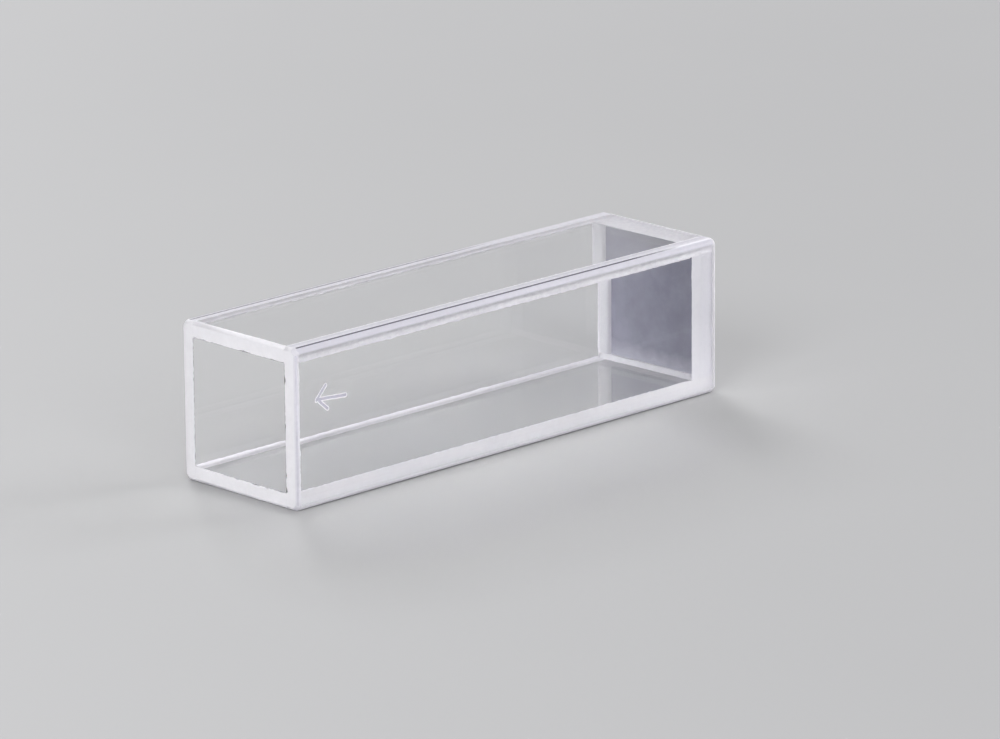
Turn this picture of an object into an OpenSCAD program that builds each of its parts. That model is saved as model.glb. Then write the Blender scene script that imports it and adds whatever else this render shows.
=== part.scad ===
// Square sample cell (cuvette) of clear fused silica, lying on one long side with its mouth open.
//
// Two full-height windows hold two narrower walls between them, and a block set inside the four
// plates closes one end. The pieces are fused face to face, so neighbours share a plane. Every outer
// edge is ground to a small bevel after fusing, so the bevels run on from piece to piece.
//
// X runs along the cell, from the mouth to the closed end. Y goes from the front window to the back
// one, and Z is up. The origin is the centre of the face that the cell rests on.

/* [Channel] */
// Length of the cell, from the mouth to the closed end
cell_length = 45; // [30:0.5:60]
// Clear distance between the two windows, which is the light path
light_path = 10; // [5:0.5:20]
// Clear distance between the upper and lower walls
channel_height = 10; // [4:0.5:20]

/* [Plates] */
// Thickness of the front and back windows
window_thickness = 1.25; // [0.8:0.05:2.5]
// Thickness of the upper and lower walls
wall_thickness = 1.25; // [0.8:0.05:2.5]
// Thickness of the block that closes the end
base_thickness = 2.5; // [1:0.1:8]

/* [Ground edges] */
// Bevel along the four long edges
long_bevel = 0.35; // [0.05:0.05:0.6]
// Bevel round the mouth
mouth_bevel = 0.2; // [0.05:0.05:0.6]
// Bevel round the closed end
base_bevel = 0.4; // [0.05:0.05:0.6]

/* [Hidden] */

// Outside size of the cell
cell_depth = light_path + 2 * window_thickness;
cell_height = channel_height + 2 * wall_thickness;

// Planes at the two ends
mouth_x = -cell_length / 2;
end_x = cell_length / 2;

// Planes across the cell, from the front face to the back face
front_y = -cell_depth / 2;
channel_front_y = front_y + window_thickness;
channel_back_y = channel_front_y + light_path;

// Planes up the cell, from the face it rests on to the top face
channel_floor_z = wall_thickness;
channel_roof_z = channel_floor_z + channel_height;

// A rectangle centred on the Y axis from v_low to v_high, cut at 45 degrees by one bevel at its two
// corners on the u_low side and by another at its two corners on the u_high side
function bevelled_outline(u_low, u_high, v_low, v_high, low_bevel, high_bevel) = [
    [u_low, v_low + low_bevel],
    [u_low + low_bevel, v_low],
    [u_high - high_bevel, v_low],
    [u_high, v_low + high_bevel],
    [u_high, v_high - high_bevel],
    [u_high - high_bevel, v_high],
    [u_low + low_bevel, v_high],
    [u_low, v_high - low_bevel]
];

// Bevels of the four long edges, as a prism along X
module long_edges() {
    outline = bevelled_outline(front_y, -front_y, 0, cell_height, long_bevel, long_bevel);
    translate([mouth_x, 0, 0])
        rotate([90, 0, 90])
            linear_extrude(height = cell_length)
                polygon(outline);
}

// Bevels of the level edges at the two ends, as a prism along Y
module level_end_edges() {
    outline = bevelled_outline(mouth_x, end_x, 0, cell_height, mouth_bevel, base_bevel);
    translate([0, -front_y, 0])
        rotate([90, 0, 0])
            linear_extrude(height = cell_depth)
                polygon(outline);
}

// Bevels of the upright edges at the two ends, as a prism along Z
module upright_end_edges() {
    outline = bevelled_outline(mouth_x, end_x, front_y, -front_y, mouth_bevel, base_bevel);
    linear_extrude(height = cell_height)
        polygon(outline);
}

// What is left of a plate when the outside edges of the fused cell are ground
module ground_to_shape() {
    intersection() {
        children();
        long_edges();
        level_end_edges();
        upright_end_edges();
    }
}

// One full-height window, with its outer face or inner face starting at low_y
module window(low_y) {
    ground_to_shape()
        translate([mouth_x, low_y, 0])
            cube([cell_length, window_thickness, cell_height]);
}

// One wall between the windows, with its lower face at low_z
module wall(low_z) {
    ground_to_shape()
        translate([mouth_x, channel_front_y, low_z])
            cube([cell_length, light_path, wall_thickness]);
}

module front_window() {
    color([0.86, 0.88, 0.92, 0.4]) window(front_y);
}

module back_window() {
    color([0.80, 0.83, 0.90, 0.4]) window(channel_back_y);
}

module upper_wall() {
    color([0.90, 0.92, 0.95, 0.4]) wall(channel_roof_z);
}

module lower_wall() {
    color([0.74, 0.78, 0.86, 0.4]) wall(0);
}

// The block that closes the channel, set flush with the end of the four plates
module base_block() {
    color([0.62, 0.63, 0.68, 0.6])
        translate([end_x - base_thickness, channel_front_y, channel_floor_z])
            cube([base_thickness, light_path, channel_height]);
}

front_window();
back_window();
upper_wall();
lower_wall();
base_block();
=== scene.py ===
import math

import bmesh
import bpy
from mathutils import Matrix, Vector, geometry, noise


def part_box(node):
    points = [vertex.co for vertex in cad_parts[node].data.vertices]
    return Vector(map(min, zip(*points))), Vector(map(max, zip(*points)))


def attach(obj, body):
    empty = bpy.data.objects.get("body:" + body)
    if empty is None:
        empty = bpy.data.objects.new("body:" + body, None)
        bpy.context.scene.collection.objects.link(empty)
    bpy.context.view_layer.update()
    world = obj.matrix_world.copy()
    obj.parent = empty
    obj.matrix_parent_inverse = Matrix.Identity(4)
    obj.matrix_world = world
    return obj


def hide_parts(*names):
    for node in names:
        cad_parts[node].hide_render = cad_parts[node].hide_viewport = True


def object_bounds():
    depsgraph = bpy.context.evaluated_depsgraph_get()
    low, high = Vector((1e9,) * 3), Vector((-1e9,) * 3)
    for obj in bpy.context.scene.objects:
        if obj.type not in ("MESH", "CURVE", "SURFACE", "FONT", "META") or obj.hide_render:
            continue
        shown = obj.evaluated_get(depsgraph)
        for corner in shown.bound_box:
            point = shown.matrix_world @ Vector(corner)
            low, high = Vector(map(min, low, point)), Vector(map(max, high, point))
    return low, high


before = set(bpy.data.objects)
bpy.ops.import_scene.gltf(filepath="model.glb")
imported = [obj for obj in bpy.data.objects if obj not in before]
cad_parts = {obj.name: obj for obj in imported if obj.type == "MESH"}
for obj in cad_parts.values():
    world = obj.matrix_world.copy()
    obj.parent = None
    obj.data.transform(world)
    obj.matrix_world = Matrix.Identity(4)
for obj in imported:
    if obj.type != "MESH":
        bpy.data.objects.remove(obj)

# A square sample cell (cuvette) of clear fused silica, lying on one long side with its mouth open. Two
# full-height windows hold two narrower walls between them, and a block closes one end. The large faces
# are polished clear. The end faces, the windows' narrow edges, the bevels and the fused joints are ground
# white, and the white joints show through the polished faces.
# Sizes are in millimetres, unless a name or comment says otherwise.

cad_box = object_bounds()

MM = 0.001                      # one millimetre in metres
GAP = 0.006                     # air left at a fused joint, so that no two glass faces coincide
SILICA_IOR = 1.458

# Ground edges, as in the CAD model
LONG_BEVEL = 0.35
MOUTH_BEVEL = 0.2
BASE_BEVEL = 0.4

scene = bpy.context.scene
outer_low, outer_high = (corner / MM for corner in cad_box)


def node_box(node):
    low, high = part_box(node)
    return Vector(low) / MM, Vector(high) / MM


# ---------------------------------------------------------------------------------------------------
# Materials
# ---------------------------------------------------------------------------------------------------

NOISE_LOW, NOISE_HIGH = 0.3, 0.7    # noise keeps mostly between these


class Nodes:
    """A shader node tree, built up one node at a time."""

    def __init__(self, tree):
        self.tree = tree
        tree.nodes.clear()

    def node(self, kind, inputs=None, **settings):
        made = self.tree.nodes.new("ShaderNode" + kind)
        for key, value in settings.items():
            setattr(made, key, value)
        for key, value in (inputs or {}).items():
            if isinstance(value, bpy.types.NodeSocket):
                self.tree.links.new(value, made.inputs[key])
            else:
                made.inputs[key].default_value = value
        return made

    def ramp(self, value, stops):
        """A colour that runs through the stops, each a place from 0 to 1 and a colour."""
        made = self.node("ValToRGB", {"Fac": value})
        elements = made.color_ramp.elements
        while len(elements) < len(stops):
            elements.new(0.5)
        for element, (place, colour) in zip(elements, stops):
            element.position, element.color = place, (*colour, 1.0)
        return made.outputs["Color"]


class Recipe(Nodes):
    """A node material."""

    def __init__(self, name):
        self.material = bpy.data.materials.new(name)
        self.material.use_nodes = True
        super().__init__(self.material.node_tree)

    def where(self):
        """The place on the part, in metres in the shared frame."""
        return self.node("TexCoord").outputs["Object"]

    def axes(self, where):
        """That place's x, y and z."""
        return self.node("SeparateXYZ", {"Vector": where}).outputs

    def noise(self, where, feature_mm, detail=3.0, roughness=0.55):
        """Noise from 0 to 1 with features of that size."""
        made = self.node("TexNoise", {"Vector": where, "Scale": 1 / (feature_mm * MM),
                                      "Detail": detail, "Roughness": roughness})
        return made.outputs["Fac"]

    def math(self, operation, first, second=0.0):
        return self.node("Math", {0: first, 1: second}, operation=operation).outputs[0]

    def spread(self, value, low, high, to_low=0.0, to_high=1.0):
        made = self.node("MapRange", {"Value": value, "From Min": low, "From Max": high,
                                      "To Min": to_low, "To Max": to_high})
        return made.outputs["Result"]

    def uneven(self, value, where, feature_mm, most):
        """A value that noise shifts by up to most, up or down."""
        shift = self.spread(self.noise(where, feature_mm), NOISE_LOW, NOISE_HIGH, -most, most)
        return self.math("ADD", value, shift)

    def blend(self, factor, first, second):
        made = self.node("Mix", {"Factor": factor}, data_type="RGBA")
        for socket, value in ((made.inputs[6], first), (made.inputs[7], second)):
            if isinstance(value, bpy.types.NodeSocket):
                self.tree.links.new(value, socket)
            else:
                socket.default_value = (*value, 1.0)
        return made.outputs[2]

    def dim(self, colour, factor):
        made = self.node("VectorMath", {0: colour, "Scale": factor}, operation="SCALE")
        return made.outputs["Vector"]

    def finish(self, shader):
        self.node("OutputMaterial", {"Surface": shader.outputs[0]})
        return self.material

    def frosted(self, where, colour, through, grain_mm=0.05, relief_mm=0.006):
        """Ends the recipe with ground silica: fine grain, a low waxy sheen, and a share of the light let
        through from behind."""
        grain = self.noise(where, grain_mm, detail=2.0)
        grained = self.dim(colour, self.spread(grain, NOISE_LOW, NOISE_HIGH, 0.95, 1.0))
        bump = self.node("Bump", {"Height": grain, "Strength": 0.5, "Distance": relief_mm * MM})
        normal = bump.outputs["Normal"]
        front = self.node("BsdfPrincipled", {
            "Base Color": grained, "IOR": SILICA_IOR, "Normal": normal,
            "Roughness": self.spread(grain, NOISE_LOW, NOISE_HIGH, 0.44, 0.6)})
        behind = self.node("BsdfTranslucent", {"Color": grained, "Normal": normal})
        return self.finish(self.node("MixShader", {0: through, 1: front.outputs[0],
                                                   2: behind.outputs[0]}))


PAINTED_TOP_SHADE_FROM, PAINTED_TOP_SHADE_TO = 2.5, 6.5     # heights between which the painted shade at the top sets in


def ground_silica(name, light, dark, mottle_mm=0.45, through=0.15, painted_mouth_shade=0.0,
                  level_to=outer_low.x, painted_top_shade=0.0):
    """Ground white silica with pale mottling, and painted shade that darkens it towards the mouth and at
    the top, by the two shade shares. The painted shade at the mouth is level as far as level_to along the
    cell, and gone at the closed end."""
    r = Recipe(name)
    where = r.where()
    x, _, z = r.axes(where)
    mottle = r.noise(where, mottle_mm, detail=4.0, roughness=0.62)
    colour = r.blend(r.spread(mottle, 0.34, 0.66), dark, light)
    # painted shade towards the mouth and at the top
    along = r.spread(x, level_to * MM, outer_high.x * MM, 1.0 - painted_mouth_shade, 1.0)
    painted_top_dim = r.spread(z, PAINTED_TOP_SHADE_FROM * MM, PAINTED_TOP_SHADE_TO * MM, 1.0, 1.0 - painted_top_shade)
    return r.frosted(where, r.dim(colour, r.math("MULTIPLY", along, painted_top_dim)), through)


def ground_edge(name, bands, through, plain_bands=None, plain_from=0.0, plain_to=0.0):
    """A window's narrow ground edge, in bands from its inner to its outer side: each a share of the width
    and a colour. They change into the plain bands, if there are any, between two places along the cell."""
    r = Recipe(name)
    where = r.where()
    x, y, _ = r.axes(where)
    rough = r.noise(where, 0.3, detail=4.0, roughness=0.65)
    inner_y = node_box("upper_wall")[1].y * MM
    outer_y = (outer_high.y - LONG_BEVEL) * MM
    across = r.spread(r.math("ABSOLUTE", y), inner_y, outer_y)
    across = r.math("ADD", across, r.spread(rough, NOISE_LOW, NOISE_HIGH, -0.05, 0.05))
    colour = r.ramp(across, bands)
    if plain_bands:
        plain = r.spread(r.uneven(x, where, 1.2, 1.0 * MM), plain_from * MM, plain_to * MM)
        colour = r.blend(plain, colour, r.ramp(across, plain_bands))
    return r.frosted(where, r.dim(colour, r.spread(rough, 0.35, 0.65, 0.92, 1.0)), through)


def painted_shade_arris(name, dark, light, fade_from, fade_to):
    """Painted shade: the fine line along a ground bevel, dark for most of its length and fading out near
    the end, standing in for the shade and dark reflections of a polished arris.
    """
    r = Recipe(name)
    where = r.where()
    x, _, _ = r.axes(where)
    fade = r.spread(r.uneven(x, where, 1.2, 1.0 * MM), fade_from * MM, fade_to * MM)
    return r.frosted(where, r.blend(fade, dark, light), through=0.0)


def end_painted_shade(name, dark, light, foot):
    """Painted shade: the ground end seen through the block, kept a cloudy lavender grey, with painted light
    that makes it paler to the back and low down, and a painted glow along its foot.
    """
    r = Recipe(name)
    where = r.where()
    _, y, z = r.axes(where)
    cloud = r.spread(r.noise(where, 1.8, detail=5.0, roughness=0.6), 0.35, 0.65, 0.0, 0.35)
    # painted light: paler to the back and low down
    back = r.spread(y, -1 * MM, 5 * MM, 0.0, 0.45)
    low = r.spread(z, 6 * MM, 1.5 * MM, 0.0, 0.3)
    tone = r.math("ADD", r.math("ADD", cloud, back), low)
    # painted glow along the foot of the end
    painted_glow = r.spread(r.uneven(z, where, 0.9, 0.25 * MM), 2.6 * MM, 1.5 * MM)
    return r.frosted(where, r.blend(painted_glow, r.blend(tone, dark, light), foot), through=0.1)


def polished_silica(name):
    """Clear silica with the faintest haze left by polishing."""
    r = Recipe(name)
    where = r.where()
    haze = r.noise(where, 4.0, detail=2.0)
    colour = r.blend(r.spread(haze, NOISE_LOW, NOISE_HIGH), (0.985, 0.988, 0.995), (1.0, 1.0, 1.0))
    return r.finish(r.node("BsdfPrincipled", {
        "Base Color": colour, "Roughness": r.spread(haze, 0.45, 0.75, 0.0, 0.012),
        "IOR": SILICA_IOR, "Transmission Weight": 1.0}))


# Painted shade: the windows' narrow ground edges are kept greyer than the rim, the more so in a band near
# their inner side; the back window's edges have a dark band beyond the middle, which fades out towards the
# closed end.
EDGE_BANDS = ((0.0, (0.86, 0.85, 0.90)), (0.2, (0.70, 0.69, 0.75)), (0.8, (0.86, 0.85, 0.90)))
EDGE_BACK_BANDS = ((0.46, (0.67, 0.66, 0.71)), (0.56, (0.21, 0.205, 0.24)),
                   (0.64, (0.21, 0.205, 0.24)), (0.74, (0.58, 0.57, 0.61)))
EDGE_BACK_PLAIN = ((0.6, (0.67, 0.66, 0.71)), (0.9, (0.62, 0.61, 0.65)))

FINISHES = {
    "polished": polished_silica("clear_silica"),
    # Outside faces and bevels
    "rim": ground_silica("ground_rim", (0.97, 0.96, 0.99), (0.93, 0.92, 0.95), mottle_mm=0.6,
                         through=0.2),
    "end_rim": ground_silica("ground_end_rim", (0.99, 0.98, 1.0), (0.95, 0.94, 0.97), mottle_mm=0.6,
                             through=0.4),
    "end_skin": ground_silica("ground_end", (0.90, 0.89, 0.93), (0.855, 0.845, 0.885), mottle_mm=0.6,
                              through=0.2),
    # painted shade towards the mouth
    "bevel": ground_silica("ground_bevel", (0.91, 0.90, 0.95), (0.87, 0.86, 0.91), through=0.42,
                           painted_mouth_shade=0.06),
    # painted shade: a darker copy of the ground bevel for the long top bevels, which take more light, and
    # darker towards the mouth
    "top_bevel_painted_shade": ground_silica("ground_bevel_top_painted_shade", (0.785, 0.775, 0.845), (0.745, 0.735, 0.80),
                               through=0.42, painted_mouth_shade=0.06),
    # painted shade: a greyer copy of the ground bevel, for the upright bevel between the mouth and the
    # front
    "near_bevel_painted_shade": ground_silica("ground_bevel_painted_shade", (0.68, 0.665, 0.735), (0.61, 0.595, 0.665),
                                through=0.2),
    # painted light: a paler copy of the ground bevel, for the bevels round the closed end, those round the
    # mouth apart from the front, and the one along the front underside, which faces the floor
    "bevel_painted_light": ground_silica("ground_bevel_painted_light", (0.98, 0.97, 1.0), (0.94, 0.93, 0.96),
                                 through=0.4),
    # painted shade: a dark line along the long bevels
    "arris": painted_shade_arris("arris_painted_shade", (0.09, 0.085, 0.11), (0.74, 0.73, 0.78), 14.0, 19.0),
    # painted shade, in the bands above
    "edge": ground_edge("ground_edge", EDGE_BANDS, through=0.45),
    "edge_back": ground_edge("ground_edge_back_painted_shade", EDGE_BACK_BANDS, through=0.25,
                             plain_bands=EDGE_BACK_PLAIN, plain_from=4.0, plain_to=10.0),
    "chip": ground_silica("chipped_border", (0.97, 0.96, 0.99), (0.88, 0.87, 0.91), through=0.3),
    "mark": ground_silica("etched_mark", (0.56, 0.545, 0.63), (0.46, 0.445, 0.53), mottle_mm=0.3),
    # Fused joints, and the ground end, seen through the glass
    # painted shade towards the mouth
    "joint": ground_silica("ground_joint", (0.99, 0.98, 1.0), (0.96, 0.95, 0.975), mottle_mm=0.35,
                           through=0.2, painted_mouth_shade=0.155, level_to=8.0),
    # painted shade towards the mouth
    "joint_mottled": ground_silica("ground_joint_mottled", (0.99, 0.98, 1.0), (0.88, 0.87, 0.905),
                                   mottle_mm=0.4, through=0.2, painted_mouth_shade=0.08),
    # painted shade at the top
    "joint_end": ground_silica("ground_joint_end", (0.975, 0.965, 1.0), (0.945, 0.935, 0.975),
                               mottle_mm=0.35, through=0.2, painted_top_shade=0.12),
    "joint_far": ground_silica("ground_joint_far", (1.0, 0.99, 1.0), (0.97, 0.96, 0.985),
                               mottle_mm=0.35, through=0.6),
    "joint_deep": ground_silica("ground_joint_deep", (0.985, 0.98, 1.0), (0.955, 0.95, 0.985),
                                mottle_mm=0.35, through=0.75),
    "bead": ground_silica("fused_bead", (0.92, 0.91, 0.94), (0.86, 0.85, 0.885), through=0.4),
    # painted shade: the ground end as seen from inside the block
    "inside": end_painted_shade("end_painted_shade", (0.27, 0.27, 0.355), (0.47, 0.47, 0.57),
                              (0.66, 0.66, 0.73)),
}
# Clear as well, but with no ragged border: a plate where another is fused to it, and the block's inner face
FINISHES["fused"] = FINISHES["polished"]
INDEX = {finish: i for i, finish in enumerate(FINISHES)}
ROUNDED = ("bevel", "top_bevel_painted_shade", "near_bevel_painted_shade", "bevel_painted_light", "bead")   # shaded as parts of a curve


# ---------------------------------------------------------------------------------------------------
# The ground outside shape, which every plate is cut to
# ---------------------------------------------------------------------------------------------------

AXES = {side: Vector(direction) for side, direction in (
    ("mouth", (-1, 0, 0)), ("end", (1, 0, 0)), ("front", (0, -1, 0)), ("back", (0, 1, 0)),
    ("under", (0, 0, -1)), ("top", (0, 0, 1)))}
REACH = {side: (outer_high if sum(axis) > 0 else outer_low).dot(axis) for side, axis in AXES.items()}

MOUTH_ROUND = 0.5               # radius that corners of three sides are rounded to, beyond the bevels
BASE_ROUND = 0.65
STEEP = 1 + math.sqrt(2)        # weight that turns a plane halfway between a face and a bevel

# The planes that soften a bevel's own edges: their leg exceeds a long bevel's by the first, and is the
# second times a bevel's at the two ends
SOFT_LONG = 0.076
SOFT_END = 1.3

LOOKS = 0.999                   # least cosine between a face's normal and the side that it looks to
LEANS = 0.3                     # the same for a face that only leans towards a side
SAME_WAY = 0.999                # least cosine between two directions that count as one


def looks_to(face, side):
    return face.normal.dot(AXES[side]) > LOOKS


def plane(weights, leg):
    """A cutting plane whose normal leans by weights towards some sides, leg short of their corner."""
    normal = sum((AXES[side] * weight for side, weight in weights.items()), Vector())
    offset = sum(REACH[side] * weight for side, weight in weights.items()) - leg
    return normal / normal.length, offset / normal.length


def rounded(radius, weights):
    """The leg of the plane that leans by weights and touches a ball of that radius in the corner."""
    return radius * (sum(weights) - math.hypot(*weights))


def outside_planes():
    """Every cutting plane, by its kind and the sides that it lies between."""
    planes = {}
    across = (("front", "under"), ("front", "top"), ("back", "under"), ("back", "top"))
    for first, second in across:
        planes["bevel", first, second] = plane({first: 1, second: 1}, LONG_BEVEL)
        planes["arris", first, second] = plane({first: 1, second: STEEP}, LONG_BEVEL + SOFT_LONG)
        planes["soft", first, second] = plane({first: STEEP, second: 1}, LONG_BEVEL + SOFT_LONG)
    for end, leg, radius in (("mouth", MOUTH_BEVEL, MOUTH_ROUND), ("end", BASE_BEVEL, BASE_ROUND)):
        for side in ("front", "back", "under", "top"):
            planes["bevel", end, side] = plane({end: 1, side: 1}, leg)
            planes["soft", end, side] = plane({end: 1, side: STEEP}, leg * SOFT_END)
            planes["soft", side, end] = plane({end: STEEP, side: 1}, leg * SOFT_END)
        for first, second in across:
            for weights in ((1, 1, 1), (2, 1, 1), (1, 2, 1), (1, 1, 2)):
                planes["corner", end, first, second, weights] = plane(
                    dict(zip((end, first, second), weights)), rounded(radius, weights))
    return planes


OUTSIDE = outside_planes()

# Bevels that take a paler copy of the ground bevel (painted light), and the upright front bevel at the
# mouth and the top bevels, which take darker copies (painted shade)
SPECIAL_SLANTS = {kind: "bevel_painted_light" for kind in OUTSIDE
                  if "end" in kind or ("mouth" in kind and "front" not in kind)}
SPECIAL_SLANTS["bevel", "mouth", "front"] = "near_bevel_painted_shade"
SPECIAL_SLANTS["bevel", "front", "under"] = SPECIAL_SLANTS["soft", "front", "under"] = "bevel_painted_light"
SPECIAL_SLANTS.update({(kind, side, "top"): "top_bevel_painted_shade"
                       for kind in ("bevel", "soft") for side in ("front", "back")})


def slant(face):
    """The finish of a face that looks to none of the six sides."""
    kind = max(OUTSIDE, key=lambda kind: face.normal.dot(OUTSIDE[kind][0]))
    return "arris" if kind[0] == "arris" else SPECIAL_SLANTS.get(kind, "bevel")


def finish_by_side(by_side):
    """A function that gives a face its finish by the side that it looks to."""
    def finish(face):
        side = next((side for side in AXES if looks_to(face, side)), None)
        return by_side[side] if side else slant(face)
    return finish


# ---------------------------------------------------------------------------------------------------
# Mesh work
# ---------------------------------------------------------------------------------------------------

def block(low, high):
    bm = bmesh.new()
    bmesh.ops.create_cube(bm, size=1.0)
    for vert in bm.verts:
        vert.co = (low + high) / 2 + Vector(c * s for c, s in zip(vert.co, high - low))
    return bm


SLACK = 1e-4                    # a plane that would cut off less than this is left out
SNAP = 1e-5                     # a corner this close to a cutting plane lies in it
MERGE = 1e-4                    # places this close together in a redrawn face are one


def cut(bm, normal, offset):
    """Cuts off what lies beyond a plane, and closes the cut. Does nothing if the plane misses the mesh."""
    if max(vert.co.dot(normal) for vert in bm.verts) <= offset + SLACK:
        return
    everything = bm.verts[:] + bm.edges[:] + bm.faces[:]
    bmesh.ops.bisect_plane(bm, geom=everything, dist=SNAP, plane_co=normal * offset, plane_no=normal,
                           clear_outer=True)
    bmesh.ops.contextual_create(bm, geom=[edge for edge in bm.edges if edge.is_boundary])
    bmesh.ops.recalc_face_normals(bm, faces=bm.faces[:])


def to_object(bm, name):
    """Turns a mesh in millimetres into an object in metres, with the materials that its faces need."""
    bmesh.ops.scale(bm, vec=(MM, MM, MM), verts=bm.verts[:])
    mesh = bpy.data.meshes.new(name)
    bm.to_mesh(mesh)
    bm.free()
    finishes = list(FINISHES)
    for polygon in mesh.polygons:
        finish = finishes[polygon.material_index]
        polygon.use_smooth = finish in ROUNDED
        if FINISHES[finish].name not in mesh.materials:
            mesh.materials.append(FINISHES[finish])
        polygon.material_index = mesh.materials.find(FINISHES[finish].name)
    made = bpy.data.objects.new(name, mesh)
    scene.collection.objects.link(made)
    return made


def wander(position, seed, feature):
    """Smooth noise from -1 to 1 along a border. Each seed reads it along a line of its own, which the two
    odd factors set well apart from the others."""
    return noise.noise(Vector((position / feature, seed * 7.31, seed * 3.7)))


# Numbers that tell the random draws apart
RIM_SEED = 90
FACE_SEEDS = 7                  # between one face of a plate and the next
BITE_SEED = 50
PLATE_SEEDS = 200               # between one plate and the next
BASE_SEED = 100
BUMP_SEED = 9
RING_SEED = 50

CHIP_WIDTH = 0.05
# A chipped border: its width, how much that varies, and how much deeper its larger bites go
FACE_CHIPS = (CHIP_WIDTH, 0.55 * CHIP_WIDTH, 2.2 * CHIP_WIDTH)
RIM_CHIPS = (0.02, 0.03, 0.22)
CHIP_STEP = 0.11
CHIP_FEATURE = 0.22
BITE_FEATURE = 0.6
BITE_LEVEL = 0.15               # a bite goes in where its noise is above this
LEAST_INSET = 0.004             # so that an outline never touches its face's own border
STRAIGHT_ON = 1e-3              # an outline that turns by less (a sine) at a corner runs straight on there
LEAST_CLEAR_AREA = 1.0          # square millimetres; a smaller clear face keeps its plain border


def is_clear(face):
    return face.material_index in (INDEX["polished"], INDEX["fused"])


def ragged_outline(face, ragged, straight, chips, seed):
    """The outline of a face's main part: set in raggedly from those of its sides that are ragged, but
    close to those of them that are straight. Splits the other sides where the outline meets them."""
    width, roughness, bites = chips
    corners = [loop.vert for loop in face.loops]
    along = [(corners[(i + 1) % len(corners)].co - corner.co).normalized()
             for i, corner in enumerate(corners)]
    outline, meeting = [], []
    for i, corner in enumerate(corners):
        a, b = along[i - 1], along[i]
        turn = a.cross(b).dot(face.normal)
        if turn < STRAIGHT_ON:
            shift = face.normal.cross(b) * (width if ragged[i] and ragged[i - 1] else 0.0)
        else:
            shift = ((b if ragged[i - 1] else Vector()) - (a if ragged[i] else Vector())) * width / turn
            if ragged[i - 1] != ragged[i]:
                meeting.append((corner, shift))
        outline.append(corner.co + shift)
    for corner, shift in meeting:
        heading = shift.normalized()
        edge = next(edge for edge in corner.link_edges if edge in face.edges[:] and
                    (edge.other_vert(corner).co - corner.co).normalized().dot(heading) > SAME_WAY)
        bmesh.utils.edge_split(edge, corner, shift.length / edge.calc_length())
    rough = []
    for i, start in enumerate(outline):
        end = outline[(i + 1) % len(outline)]
        rough.append(start)
        count = int((end - start).length / CHIP_STEP)
        inward = face.normal.cross(along[i])
        if not ragged[i]:
            steps = ()
        elif not straight[i]:
            steps = range(1, count)
        else:
            steps = (1, count - 1) if count > 2 else ()         # more would lie in one line
        for k in steps:
            reach = k * CHIP_STEP
            fine = wander(reach, seed + i, CHIP_FEATURE)
            bite = max(0.0, wander(reach, seed + i + BITE_SEED, BITE_FEATURE) - BITE_LEVEL)
            inset = max(LEAST_INSET, width + roughness * fine + bites * bite)
            if straight[i]:
                inset = LEAST_INSET
            place = start + (end - start) * k / count
            rough.append(place + inward * (inset - (place - corners[i].co).dot(inward)))
    return rough


def redraw(bm, face, outlines, finish_of, depth_at=None):
    """Cuts a flat face along closed outlines that lie in it, gives each part the finish that finish_of
    picks from the numbers of the outlines around it, and sinks it to depth_at each place."""
    border = list(face.verts)
    origin, normal = border[0].co.copy(), face.normal.copy()
    right = normal.orthogonal().normalized()
    up = normal.cross(right)
    places = [vert.co for vert in border] + [place for outline in outlines for place in outline]
    loops, first = [], 0
    for loop in [border] + outlines:
        loops.append(list(range(first, first + len(loop))))
        first += len(loop)
    flat = [Vector(((place - origin).dot(right), (place - origin).dot(up))) for place in places]
    verts, _, parts, vert_origins, _, part_origins = geometry.delaunay_2d_cdt(flat, [], loops, 1, MERGE)
    made = []
    for at, origins in zip(verts, vert_origins):
        on_border = [k for k in origins if k < len(border)]
        if on_border:
            made.append(border[on_border[0]])
        else:
            place = origin + right * at.x + up * at.y
            made.append(bm.verts.new(place - normal * depth_at(place) if depth_at else place))
    bm.faces.remove(face)
    for corners, origins in zip(parts, part_origins):
        part = bm.faces.new([made[k] for k in corners])
        part.material_index = INDEX[finish_of({k for k in origins if k > 0})]
        part.normal_update()
        if part.normal.dot(normal) < 0:
            part.normal_flip()


def roughen_borders(bm, seed, marked=None, straight_sides=()):
    """Gives the ground mouth a chipped inner border, each clear face a narrow ragged ground border that
    is straight towards the straight sides, and the marked side its etched mark."""
    rims = [face for face in bm.faces
            if looks_to(face, "mouth") and face.material_index == INDEX["rim"]]
    for number, face in enumerate(rims):
        ragged = [any(other.material_index == INDEX["polished"] for other in loop.edge.link_faces)
                  for loop in face.loops]
        outline = ragged_outline(face, ragged, [False] * len(ragged), RIM_CHIPS,
                                 seed + RIM_SEED + FACE_SEEDS * number)
        redraw(bm, face, [outline], lambda inside: "rim" if inside else "polished")
    clear = [face for face in bm.faces if face.material_index == INDEX["polished"]
             and face.calc_area() > LEAST_CLEAR_AREA]
    for number, face in enumerate(clear):
        ragged = [not all(is_clear(other) for other in loop.edge.link_faces) for loop in face.loops]
        straight = [any(other.normal.dot(AXES[side]) > LEANS for other in loop.edge.link_faces
                        for side in straight_sides) for loop in face.loops]
        outline = ragged_outline(face, ragged, straight, FACE_CHIPS, seed + FACE_SEEDS * number)
        if marked and looks_to(face, marked):
            etch_mark(bm, face, outline)
        else:
            redraw(bm, face, [outline], lambda inside: "polished" if inside else "chip")


def mark_fused(bm, side, lines):
    """Splits a side along straight lines, each an axis, a place on it, the direction of the part fused to
    another plate and that part's finish."""
    for axis, at, way, finish in lines:
        across = Vector(1.0 if k == axis else 0.0 for k in range(3))
        faces = [face for face in bm.faces if looks_to(face, side)]
        geom = faces + list({item for face in faces for item in (*face.verts, *face.edges)})
        bmesh.ops.bisect_plane(bm, geom=geom, dist=SNAP, plane_co=across * at, plane_no=across)
        for face in bm.faces:
            if looks_to(face, side) and (face.calc_center_median()[axis] - at) * way > 0:
                face.material_index = INDEX[finish]


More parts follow.
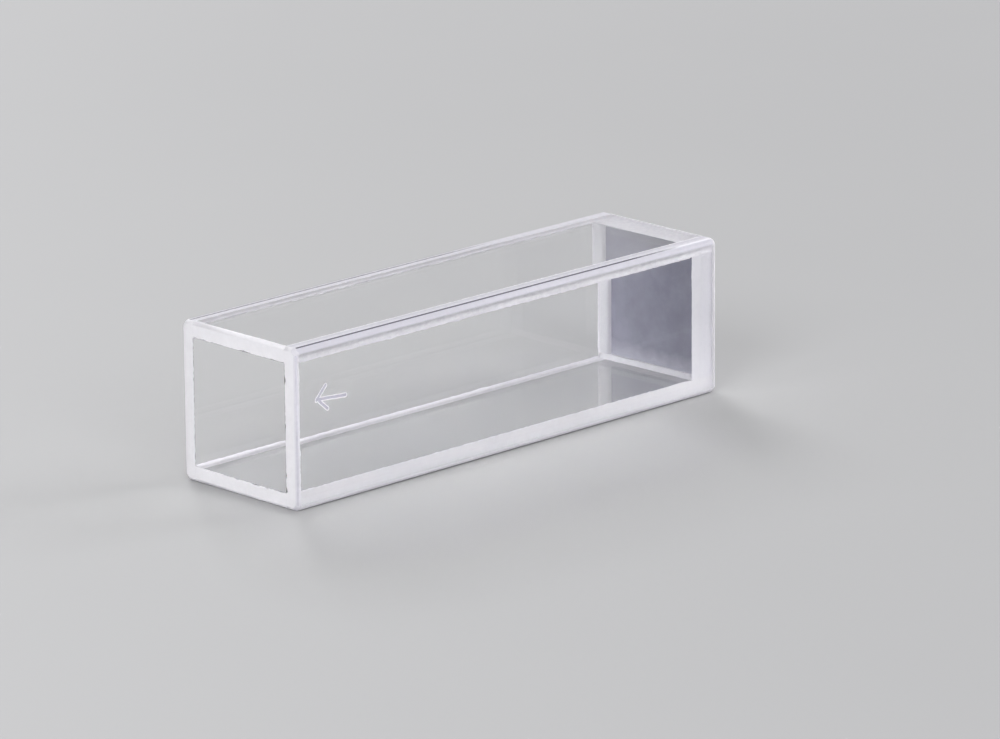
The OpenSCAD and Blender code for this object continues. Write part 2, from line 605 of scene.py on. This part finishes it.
def plate(node, finish_of, joints, seed, fused_lines, marked=None, straight_sides=(), shorter=0.0,
          lean=0.0):
    """A CAD node's block, cut to the outside shape, with its borders roughened."""
    low, high = node_box(node)
    high.x -= shorter
    for side in joints:
        axis = AXES[side]
        if sum(axis) > 0:
            high = high - axis * GAP
        else:
            low = low - axis * GAP
    bm = block(low, high)
    for normal, offset in OUTSIDE.values():
        cut(bm, normal, offset)
    if lean:
        normal = Vector((low.y - high.y, -lean, 0)).normalized()
        cut(bm, normal, normal.dot(Vector((low.x, high.y, 0))))
    for face in bm.faces:
        face.material_index = INDEX[finish_of(face)]
    for side, lines in fused_lines.items():
        mark_fused(bm, side, lines)
    roughen_borders(bm, seed, marked, straight_sides)
    return bm


# ---------------------------------------------------------------------------------------------------
# Orientation mark etched in the front window
# ---------------------------------------------------------------------------------------------------

MARK_RADIUS = 0.185             # half the width of a stroke
MARK_DEPTH = 0.008
MARK_SLOPE = 0.45               # share of the radius taken up by the groove's sloping side
MARK_STEP = 0.07
MARK_UNEVEN = 0.14              # how much a stroke's width varies, as a share of it
MARK_FEATURE = 0.5
MARK_STROKES = (                # an arrow that points to the mouth: places along the cell and up it
    ((-17.55, 8.05), (-18.5, 8.12), (-19.5, 8.2), (-20.35, 8.25)),
    ((-20.48, 8.2), (-20.05, 8.68), (-19.55, 9.2)),
    ((-20.42, 8.33), (-19.95, 7.88), (-19.38, 7.38)),
)
CAP_STEPS = 8                   # in the half circle at each end of a stroke


def stroke_path(points):
    """Evenly spaced places along a smooth stroke, with the half width at each."""
    corners = [Vector(point) for point in points]
    path = []
    for before, start, end, after in zip([corners[0]] + corners, corners, corners[1:],
                                         corners[2:] + corners[-1:]):
        count = max(2, int((end - start).length / MARK_STEP))
        for i in range(count):
            t = i / count
            path.append(0.5 * (2 * start + (end - before) * t
                               + (2 * before - 5 * start + 4 * end - after) * t ** 2
                               + (3 * start - before - 3 * end + after) * t ** 3))
    path.append(corners[-1])
    return [(place, MARK_RADIUS * (1 + MARK_UNEVEN * wander(i * MARK_STEP, corners[0].x,
                                                            MARK_FEATURE)))
            for i, place in enumerate(path)]


def stroke_outline(path, share):
    """The outline of a stroke with round ends, with its half width scaled by share."""
    places = [place for place, radius in path]
    sides = []
    for i, (place, radius) in enumerate(path):
        along = (places[min(i + 1, len(path) - 1)] - places[max(i - 1, 0)]).normalized()
        sides.append((place, along, radius * share))
    left = [place + Vector((-along.y, along.x)) * radius for place, along, radius in sides]
    right = [place - Vector((-along.y, along.x)) * radius for place, along, radius in sides]
    caps = []
    for (place, along, radius), turn in ((sides[-1], 1), (sides[0], -1)):
        start = math.atan2(-along.x * turn, along.y * turn)
        angles = [start + math.pi * k / CAP_STEPS for k in range(1, CAP_STEPS)]
        caps.append([place + radius * Vector((math.cos(angle), math.sin(angle))) for angle in angles])
    return right + caps[0] + left[::-1] + caps[1]


def etch_mark(bm, face, outline):
    """Cuts the mark into the front window's outer face, as a shallow groove with sloping sides."""
    surface_y = face.calc_center_median().y
    paths = [stroke_path(points) for points in MARK_STROKES]
    strokes = [[Vector((place.x, surface_y, place.y)) for place in stroke_outline(path, share)]
               for share in (1.0, 1 - MARK_SLOPE) for path in paths]

    def depth_at(place):
        at = Vector((place.x, place.z))
        nearest = min((at - middle).length / radius for path in paths for middle, radius in path)
        return MARK_DEPTH * min(1.0, max(0.0, (1 - nearest) / MARK_SLOPE))

    def finish_of(inside):
        """Outline 1 goes round the polished part, the next ones round the strokes and the last round
        their floors."""
        deepest = max(inside, default=0)
        if deepest > 1 + len(paths):
            return "mark"
        return "polished" if deepest == 1 else "chip"

    redraw(bm, face, [outline] + strokes, finish_of, depth_at)


# ---------------------------------------------------------------------------------------------------
# Pieces
# ---------------------------------------------------------------------------------------------------

WINDOW = {"mouth": "rim", "end": "end_rim", "front": "polished", "back": "polished"}
FRONT_WINDOW = dict(WINDOW, under="edge", top="edge")
BACK_WINDOW = dict(WINDOW, under="edge_back", top="edge_back")
LOWER_WALL = {"mouth": "rim", "end": "end_rim", "front": "joint", "back": "joint_far",
              "under": "polished", "top": "polished"}
UPPER_WALL = dict(LOWER_WALL, front="joint_mottled")
BASE = {"mouth": "fused", "end": "inside", "front": "joint_end", "back": "joint_deep",
        "under": "joint_deep", "top": "joint_deep"}

OVER_JOINTS = ("under", "top", "end")       # towards these, a window has a white joint behind it
BASE_LEAN = 0.25                # how much thinner the base block is at the front than at the back
END_SKIN = 0.03                 # thickness of the ground layer that closes the end


def mount(bm, name, replaced=None):
    made = to_object(bm, name)
    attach(made, "root")
    if replaced:
        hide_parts(replaced)


def plates():
    low, high = node_box("base_block")
    to_base = (0, low.x, 1, "fused")
    beside_walls = ((2, low.z, -1, "fused"), (2, high.z, 1, "fused"), to_base)
    rows = (("front_window", FRONT_WINDOW, {"back": beside_walls}),
            ("back_window", BACK_WINDOW, {"front": beside_walls}),
            ("upper_wall", UPPER_WALL, {"under": ((0, low.x, 1, "joint_mottled"),)}),
            ("lower_wall", LOWER_WALL, {"top": (to_base,)}))
    for number, (node, by_side, fused_lines) in enumerate(rows, 1):
        is_window = "window" in node
        bm = plate(node, finish_by_side(by_side), () if is_window else ("front", "back"),
                   PLATE_SEEDS * number, fused_lines, marked="front" if node == "front_window" else None,
                   straight_sides=OVER_JOINTS if is_window else ())
        mount(bm, node + "_glass", node)


def base():
    """The base block, with the ground layer that closes the end set behind it."""
    bm = plate("base_block", finish_by_side(BASE), ("front", "back", "under", "top"), BASE_SEED, {},
               shorter=END_SKIN, lean=BASE_LEAN)
    low, high = node_box("base_block")
    inset = Vector((0, GAP, GAP))
    skin = block(Vector((high.x - END_SKIN + GAP, low.y, low.z)) + inset, high - inset)
    for face in skin.faces:
        face.material_index = INDEX["end_skin"]
    mesh = bpy.data.meshes.new("skin")
    skin.to_mesh(mesh)
    bm.from_mesh(mesh)
    bpy.data.meshes.remove(mesh)
    skin.free()
    mount(bm, "base_block_glass", "base_block")


BEAD_STEP = 0.13
BEAD_ROUGHNESS = 0.04
FRONT_BEAD = 0.07               # reach of a bead along the two faces that it lies against
BACK_BEAD = 0.11
BEAD_GROWTH = 0.04              # how much the reach of the bead round the block grows, front to back
BEAD_FEATURE = 0.3              # of the bead's fine unevenness
BUMP_FEATURE = 0.8              # of its larger bumps, which rise where their noise is above the level
BUMP_LEVEL = 0.2
BUMP_SIZE = 2.5                 # of those bumps, against the fine unevenness
BEAD_ENDS = (0.03, 0.02)        # how far a long bead stops short of the mouth and of the base block
FILLET = 0.42                   # height of the thicker bead along the foot of the base block's inner face


def bead(bm, corners, first, second, legs, closed=False):
    """A bead of fused silica in an inner corner: places along the corner, and at each the directions of
    the two faces that it lies against and its reach along them."""
    rings = []
    for i, (corner, a, b, reaches) in enumerate(zip(corners, first, second, legs)):
        seed = RING_SEED if closed else round(corner.y) + 3 * round(corner.z)
        at = i * BEAD_STEP
        reach = []
        for k, leg in enumerate(reaches):
            bump = max(0.0, wander(at, seed + k + BUMP_SEED, BUMP_FEATURE) - BUMP_LEVEL)
            reach.append(leg + BEAD_ROUGHNESS * (wander(at, seed + k, BEAD_FEATURE) + BUMP_SIZE * bump))
        start = corner + (a + b) * GAP / 2
        ring = (start, start + a * reach[0], start + b * reach[1])
        rings.append([bm.verts.new(place) for place in ring])
    pairs = list(zip(rings, rings[1:])) + ([(rings[-1], rings[0])] if closed else [])
    for near, far in pairs:
        for k in range(3):
            bm.faces.new((near[k], near[k - 2], far[k - 2], far[k]))
        for k in range(3):
            bm.edges.get((near[k], far[k])).smooth = False
    if not closed:
        bm.faces.new(rings[0])
        bm.faces.new(rings[-1])


def towards(value):
    return math.copysign(1, value)


def beads():
    """A bead along each of the channel's four long corners, and one round the base block's inner face."""
    bm = bmesh.new()
    low, high = node_box("base_block")
    middle = (low + high) / 2
    start, end = outer_low.x + BEAD_ENDS[0], low.x - BEAD_ENDS[1]
    count = int((end - start) / BEAD_STEP)
    for y, leg in ((low.y, FRONT_BEAD), (high.y, BACK_BEAD)):
        for z in (low.z, high.z):
            corners = [Vector((start + (end - start) * i / count, y, z)) for i in range(count + 1)]
            upright = Vector((0, 0, towards(middle.z - z)))
            inward = Vector((0, towards(middle.y - y), 0))
            bead(bm, corners, [upright] * len(corners), [inward] * len(corners),
                 [(leg, leg)] * len(corners))
    depth = high.y - low.y
    turns = [(low.y, low.z), (high.y, low.z), (high.y, high.z), (low.y, high.z)]
    corners, inward, legs = [], [], []
    for (y0, z0), (y1, z1) in zip(turns, turns[1:] + turns[:1]):
        count = int(max(abs(y1 - y0), abs(z1 - z0)) / BEAD_STEP)
        for i in range(count):
            y, z = y0 + (y1 - y0) * i / count, z0 + (z1 - z0) * i / count
            lean = BASE_LEAN * (high.y - y) / depth
            corners.append(Vector((low.x + lean, y, z)))
            to_middle = 0 if y0 != y1 and i else towards(middle.y - y)
            inward.append(Vector((-to_middle * BASE_LEAN / depth, to_middle,
                                  0 if z0 != z1 and i else towards(middle.z - z))))
            leg = FRONT_BEAD + BEAD_GROWTH * (y - low.y) / depth
            legs.append((leg, FILLET if z == low.z else leg))
    bead(bm, corners, [Vector((-1, 0, 0))] * len(corners), inward, legs, closed=True)
    bmesh.ops.recalc_face_normals(bm, faces=bm.faces[:])
    for face in bm.faces:
        face.material_index = INDEX["bead"]
    mount(bm, "fused_beads")


plates()
base()
beads()


# ---------------------------------------------------------------------------------------------------
# Floor, light and camera
# ---------------------------------------------------------------------------------------------------

FLOOR_HALF = 1.6                # metres
FLOOR_DROP = 1e-5               # metres below the part, so that the two never coincide
FLOOR_DARK = (0.347, 0.347, 0.352)
FLOOR_LIGHT = (0.365, 0.365, 0.37)
SKY = ((0.0, (0.56, 0.56, 0.57)), (0.6, (0.46, 0.46, 0.47)))        # from the horizon upwards

# Four soft lamps, each at an azimuth from which no view along the sides or corners sees it mirrored in a
# polished face: name, azimuth in degrees (0 the front, 90 the closed end), and power in watts
LAMPS = (("key_left", 292, 2.73), ("key_right", 337, 2.42), ("side", 67, 2.63), ("back", 157, 2.94))
LAMP_ELEVATION = 34             # degrees
LAMP_DISTANCE = 0.8             # metres
LAMP_SIZE = 0.3                 # metres


def floor():
    mesh = bpy.data.meshes.new("floor")
    corners = [(x * FLOOR_HALF, y * FLOOR_HALF, -FLOOR_DROP)
               for x, y in ((-1, -1), (1, -1), (1, 1), (-1, 1))]
    mesh.from_pydata(corners, [], [(0, 1, 2, 3)])
    r = Recipe("pale_floor")
    where = r.where()
    tone = r.blend(r.noise(where, 60.0), FLOOR_DARK, FLOOR_LIGHT)
    mesh.materials.append(r.finish(r.node("BsdfPrincipled", {"Base Color": tone, "Roughness": 0.6})))
    made = bpy.data.objects.new("floor", mesh)
    scene.collection.objects.link(made)


def sky():
    world = bpy.data.worlds.new("studio")
    scene.world = world
    world.use_nodes = True
    tree = Nodes(world.node_tree)
    where = tree.node("TexCoord").outputs["Generated"]
    height = tree.node("SeparateXYZ", {"Vector": where}).outputs["Z"]
    light = tree.node("Background", {"Color": tree.ramp(height, SKY)})
    tree.node("OutputWorld", {"Surface": light.outputs[0]})


def lamp(name, azimuth, power):
    a, e = math.radians(azimuth), math.radians(LAMP_ELEVATION)
    away = Vector((math.sin(a) * math.cos(e), -math.cos(a) * math.cos(e), math.sin(e)))
    data = bpy.data.lights.new(name, "AREA")
    data.shape, data.size, data.energy = "SQUARE", LAMP_SIZE, power
    made = bpy.data.objects.new(name, data)
    made.location = away * LAMP_DISTANCE
    made.rotation_mode = "QUATERNION"
    made.rotation_quaternion = away.to_track_quat("Z", "Y")
    scene.collection.objects.link(made)


def camera():
    """The photo's viewing angle: turned by yaw from the length of the cell, and looking down by pitch."""
    yaw, pitch, roll = math.radians(45.52), math.radians(15.81), math.radians(-0.46)
    distance, lens = 501.8, 236.0
    aim_right, aim_up = 3.32, -1.03         # from the middle of the part to the middle of the picture
    forward = Vector((math.cos(yaw) * math.cos(pitch), math.sin(yaw) * math.cos(pitch),
                      -math.sin(pitch)))
    level = Vector((math.sin(yaw), -math.cos(yaw), 0.0))
    upright = level.cross(forward)
    right = level * math.cos(roll) + upright * math.sin(roll)
    up = upright * math.cos(roll) - level * math.sin(roll)
    centre = (outer_low + outer_high) / 2
    place = centre + right * aim_right + up * aim_up - forward * distance
    data = bpy.data.cameras.new("camera")
    data.lens, data.sensor_width = lens, 36.0
    data.clip_start, data.clip_end = 0.01, 10.0
    made = bpy.data.objects.new("camera", data)
    turn = Matrix((right, up, -forward)).transposed().to_4x4()
    turn.translation = place * MM
    made.matrix_world = turn
    scene.collection.objects.link(made)
    scene.camera = made


floor()
sky()
for name, azimuth, power in LAMPS:
    lamp(name, azimuth, power)
camera()

scene.view_settings.view_transform = "Standard"
scene.cycles.max_bounces = 24
scene.cycles.transmission_bounces = 24
scene.cycles.glossy_bounces = 12
scene.cycles.diffuse_bounces = 8
scene.cycles.blur_glossy = 0.0
